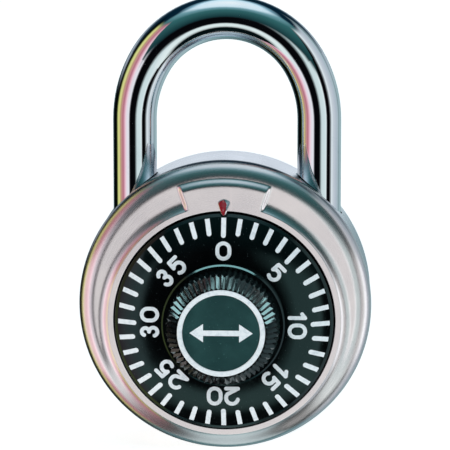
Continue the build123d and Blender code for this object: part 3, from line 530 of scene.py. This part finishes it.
def make_drop(name, half_width, tip_half_width, shift, lift, crown):
    """A drop shape on the nib's slope. lift is its skin's height over the nib's, and crown how
    much its middle stands over its sides."""
    rows, columns = NIB_ROWS, NIB_COLUMNS
    first = NIB_TOP - lift * HEAD_INSET
    length = NIB_TOP - NIB_TIP - lift * (HEAD_INSET + TIP_INSET)
    points = []
    for side in (0, 1):
        for row in range(rows):
            along = row / (rows - 1)
            radius = first - length * along
            head = np.sqrt(1 - (1 - min(along / HEAD_SHARE, 1.0)) ** 2)
            past_head = max(along - HEAD_SHARE, 0) / (1 - HEAD_SHARE)
            taper = half_width + (tip_half_width - half_width) * past_head
            nose = np.sqrt(1 - max(along - NOSE_START, 0) / NOSE_SHARE)
            half = taper * head * nose + 0.001
            climb = smooth(np.array((NIB_TOP - radius) / (NIB_TOP - NIB_BEND)))
            rise = NIB_LOW_RISE + (NIB_HIGH_RISE - NIB_LOW_RISE) * float(climb)
            for column in range(columns):
                across = 2 * column / (columns - 1) - 1
                top = rise + lift - crown * across * across
                base = top - NIB_SHEET if radius < WELL_RADIUS else PLATEAU_RISE - 0.05
                if lift:
                    base = top - 2 * lift
                x = shift * (1 - along) + across * half
                points.append((x, SEAM_Y - (base if side else top), DIAL_Z + radius))
    layer = rows * columns
    faces = []
    for row in range(rows - 1):
        for column in range(columns - 1):
            a = row * columns + column
            quad = (a, a + 1, a + columns + 1, a + columns)
            faces.append(quad)
            faces.append(tuple(layer + corner for corner in reversed(quad)))
    border = [column for column in range(columns)]
    border += [row * columns + columns - 1 for row in range(1, rows)]
    border += [(rows - 1) * columns + column for column in range(columns - 2, -1, -1)]
    border += [row * columns for row in range(rows - 2, 0, -1)]
    for here, there in zip(border, border[1:] + border[:1]):
        faces.append((here, layer + here, layer + there, there))
    return make_piece(name, [tuple(c * MM for c in point) for point in points], faces)


# ---- Studio: the surroundings that the polished metal mirrors ----
# Colours by bearing, in degrees from the camera's side of the padlock, positive to the right.
BEARINGS = (
    (-180, (110, 136, 140)),
    (-140, (2, 5, 6)),
    (-113, (2, 5, 4)),
    (-107, (90, 96, 55)),
    (-100, (210, 213, 134)),
    (-90, (217, 210, 140)),
    (-82, (186, 154, 118)),
    (-74, (196, 140, 140)),
    (-65, (180, 112, 126)),
    (-57, (218, 160, 176)),
    (-50, (242, 208, 218)),
    (-43, (228, 221, 229)),
    (-33, (234, 232, 238)),
    (-28, (80, 80, 85)),
    (-25, (3, 3, 6)),
    (1, (8, 9, 12)),
    (7, (150, 162, 163)),
    (11, (204, 219, 220)),
    (30, (210, 226, 227)),
    (35, (232, 241, 243)),
    (39, (60, 64, 66)),
    (42, (2, 2, 4)),
    (55, (6, 6, 8)),
    (62, (140, 146, 149)),
    (67, (226, 234, 238)),
    (78, (200, 207, 214)),
    (95, (184, 192, 203)),
    (118, (164, 183, 190)),
    (122, (104, 120, 126)),
    (128, (154, 176, 182)),
    (155, (156, 180, 185)),
    (180, (110, 136, 140)),
)
# Colours by elevation in degrees, above and below the belt of bearings.
ELEVATIONS = (
    (-90, (215, 232, 236)),
    (-73, (200, 218, 221)),
    (-67, (3, 14, 16)),
    (-48, (3, 14, 16)),
    (-43, (186, 194, 193)),
    (-37, (226, 238, 236)),
    (-20, (216, 226, 228)),
    (-12, (150, 165, 172)),
    (4, (60, 80, 88)),
    (10, (20, 50, 54)),
    (45, (50, 100, 102)),
    (58, (110, 155, 165)),
    (66, (208, 230, 241)),
    (90, (234, 243, 248)),
)
# The same behind the padlock.
ELEVATIONS_BEHIND = (
    (-90, (215, 232, 236)),
    (-80, (177, 208, 210)),
    (-74, (14, 54, 56)),
    (-64, (108, 155, 163)),
    (-50, (113, 160, 163)),
    (-34, (19, 62, 68)),
    (-20, (150, 166, 174)),
    (-8, (196, 200, 210)),
    (10, (170, 180, 192)),
    (22, (40, 62, 76)),
    (36, (4, 30, 46)),
    (56, (6, 34, 50)),
    (64, (120, 161, 179)),
    (70, (205, 232, 245)),
    (90, (234, 243, 248)),
)
BELT_MIDDLE = -8.0
BELT_NARROW = 13.0
BELT_WIDE = 48.0
BELT_EDGE = 8.0
SKY_STRENGTH = 1.05
# Bearings between which the belt widens, and between which the rear gives way to elevations.
BELT_OPENS = (38.0, 62.0)
REAR_STARTS = (118.0, 140.0)


def make_world():
    """Soft boxes, coloured flats and dark gaps, drawn by direction; the camera sees plain white."""
    world = bpy.data.worlds.new("studio")
    bpy.context.scene.world = world
    world.use_nodes = True
    g = Graph(world.node_tree)
    parts = g.node("SeparateXYZ", {"Vector": g.node("TexCoord").outputs["Generated"]})
    x, y, z = (parts.outputs[name] for name in "XYZ")
    bearing = g.math("ARCTAN2", x, g.math("MULTIPLY", y, -1.0))
    bearing = g.math("SUBTRACT", g.math("MULTIPLY", bearing, 180 / pi), CAMERA_AZIMUTH)
    elevation = g.math("MULTIPLY", g.math("ARCSINE", z), 180 / pi)
    by_bearing = g.ramp(
        g.math("ADD", g.math("DIVIDE", bearing, 360.0), 0.5),
        [((degrees + 180) / 360, colour) for degrees, colour in BEARINGS],
    )
    height = g.math("ADD", g.math("DIVIDE", elevation, 180.0), 0.5)
    in_front = g.ramp(height, [((degrees + 90) / 180, colour) for degrees, colour in ELEVATIONS])
    behind = g.ramp(
        height, [((degrees + 90) / 180, colour) for degrees, colour in ELEVATIONS_BEHIND]
    )
    by_elevation = g.mix(g.step(y, -0.12, 0.12), in_front, behind)
    side = g.step(g.math("ABSOLUTE", bearing), *BELT_OPENS, BELT_NARROW, BELT_WIDE)
    away = g.math("ABSOLUTE", g.math("SUBTRACT", elevation, BELT_MIDDLE))
    past = g.math("SUBTRACT", away, side)
    outside = g.step(past, 0.0, BELT_EDGE)
    rear = g.step(g.math("ABSOLUTE", bearing), *REAR_STARTS)
    rear = g.math("MULTIPLY", rear, g.step(elevation, 0.0, 12.0))
    seen = g.mix(g.math("MAXIMUM", outside, rear), by_bearing, by_elevation)
    mirrored = g.node("Background", {"Color": seen, "Strength": SKY_STRENGTH})
    plain = g.node("Background", {"Color": (1.0, 1.0, 1.0, 1.0), "Strength": 1.0})
    chosen = g.node(
        "MixShader",
        {
            0: g.node("LightPath").outputs["Is Camera Ray"],
            1: mirrored.outputs[0],
            2: plain.outputs[0],
        },
    )
    output = g.node("OutputWorld", {"Surface": chosen.outputs[0]})
    output.is_active_output = True


FLOOR_SIZE = 4.0


def make_floor():
    """A plain pale floor under the case. Mirrors look past it, to the studio's surroundings."""
    half = FLOOR_SIZE / 2
    height = CASE_LOW.z - 0.02 * MM
    mesh = bpy.data.meshes.new("floor")
    corners = [(x * half, y * half, height) for x, y in ((-1, -1), (1, -1), (1, 1), (-1, 1))]
    mesh.from_pydata(corners, [], [(0, 1, 2, 3)])
    floor = bpy.data.objects.new("floor", mesh)
    bpy.context.scene.collection.objects.link(floor)
    material, g = new_material("floor_paper")
    mottle = g.noise(g.position(), 60.0, 2.0)
    colour = g.mix(mottle, linear(246, 246, 246), linear(250, 250, 250))
    g.finish(
        Base_Color=colour,
        Roughness=0.9,
        Specular_IOR_Level=0.0,
        Emission_Color=(1.0, 1.0, 1.0, 1.0),
        Emission_Strength=0.8,
    )
    mesh.materials.append(material)
    floor.visible_glossy = False
    floor.visible_shadow = False


def soft_box(name, bearing, elevation, distance, size, power, colour, receivers):
    """A square soft light aimed at the case, that lights only the receivers."""
    turn, rise = radians(bearing), radians(elevation)
    back = Vector((sin(turn) * cos(rise), -cos(turn) * cos(rise), sin(rise)))
    data = bpy.data.lights.new(name, "AREA")
    data.size = size
    data.energy = power
    data.color = colour
    light = bpy.data.objects.new(name, data)
    light.location = Vector((0, RIM_PLANE, 0)) + back * distance
    light.rotation_mode = "QUATERNION"
    light.rotation_quaternion = back.to_track_quat("Z", "Y")
    bpy.context.scene.collection.objects.link(light)
    group = bpy.data.collections.new(name + "_receivers")
    for piece in receivers:
        group.objects.link(piece)
    light.light_linking.receiver_collection = group


cover = make_cover()
nib = make_drop("index_nib", 1.0, 0.3, 0.0, 0.0, 0.28)
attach(nib, "case")
paint = make_drop("index_paint", 0.78, 0.22, -0.1, 0.03, 0.2)
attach(paint, "case")
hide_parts("index_mark")

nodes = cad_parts
SATIN_PIECES = (cover, nib, nodes["rear_shell"])
BLACK_PIECES = (nodes["dial"], nodes["knob"])
KNOB_PIECES = (nodes["knob"],)
PAINTED_PIECES = (
    paint,
    nodes["dial_markings"],
    nodes["knob_ring"],
    nodes["label_arrow"],
    nodes["knob_label"],
)

make_camera()
make_world()
make_floor()
# Bearing, elevation, distance and size in degrees and metres, then watts and colour.
soft_box("case_fill", 0, -12, 0.5, 0.30, 0.25, (1.0, 0.965, 0.965), SATIN_PIECES)
soft_box("right_fill", 68, -12, 0.5, 0.40, 0.34, (1.0, 0.985, 0.98), SATIN_PIECES)
soft_box("left_fill", -66, -14, 0.5, 0.42, 0.28, (1.0, 0.97, 0.98), SATIN_PIECES)
soft_box("edge_light", 180, 55, 0.5, 0.3, 3.0, (0.85, 1.0, 1.0), BLACK_PIECES)
soft_box("flute_light", 176, 70, 0.5, 0.8, 17.0, (0.72, 0.95, 1.0), KNOB_PIECES)
soft_box("shell_light", 180, 28, 0.5, 0.5, 0.5, (0.94, 0.97, 1.0), (nodes["rear_shell"],))
soft_box("low_fill", 12, -48, 0.5, 0.3, 0.16, (1.0, 0.98, 0.96), SATIN_PIECES)
soft_box("paint_fill", -10, 35, 0.5, 0.3, 0.9, (0.94, 0.98, 1.0), PAINTED_PIECES)

satin = satin_metal("satin_nickel", (232, 228, 228), (222, 218, 220), 0.24, CASE_CENTRE)
cover.data.materials.append(satin)
nib.data.materials.append(satin)
paint.data.materials.append(enamel("red_paint", (138, 4, 26), (104, 4, 18), 0.2))
dress(satin_metal("shell_nickel", (222, 224, 231), (210, 213, 221), 0.26, CASE_CENTRE), "rear_shell")
dress(chrome_metal(), "shackle")
dress(gloss_plastic("dial_plastic", (3, 4, 5), True), "dial")
dress(gloss_plastic("knob_plastic", (3, 4, 5), False), "knob")
dress(
    enamel("white_paint", (236, 241, 244), (206, 216, 222), 0.32),
    "dial_markings",
    "knob_ring",
    "label_arrow",
)
dress(label_paint(), "knob_label")
dress(
    turned_metal("zinc_plated_steel", (196, 198, 200), (150, 154, 158), 0.3, DIAL_CENTRE),
    "inner_case",
    "tension_washer",
    "fence_lever",
    "fence_bar",
    "pivot_clip",
    "spring_seat",
    "spindle_retainer",
    "heel_retaining_ring",
    "pivot_post",
)
dress(cast_metal(), "shackle_guide", "locking_pawl")
dress(
    turned_metal("turned_brass", (214, 176, 98), (166, 126, 66), 0.24, DIAL_CENTRE),
    "wheel_post",
    "front_wheel",
    "middle_wheel",
    "drive_cam",
    "dial_spindle",
)
dress(
    turned_metal("spring_wire", (176, 180, 186), (120, 122, 126), 0.28, DIAL_CENTRE),
    "shackle_spring",
    "lever_spring",
)
dress(nylon(), "wheel_spacers", "dial_washer")

scene = bpy.context.scene
scene.view_settings.view_transform = "Standard"
scene.view_settings.look = "None"
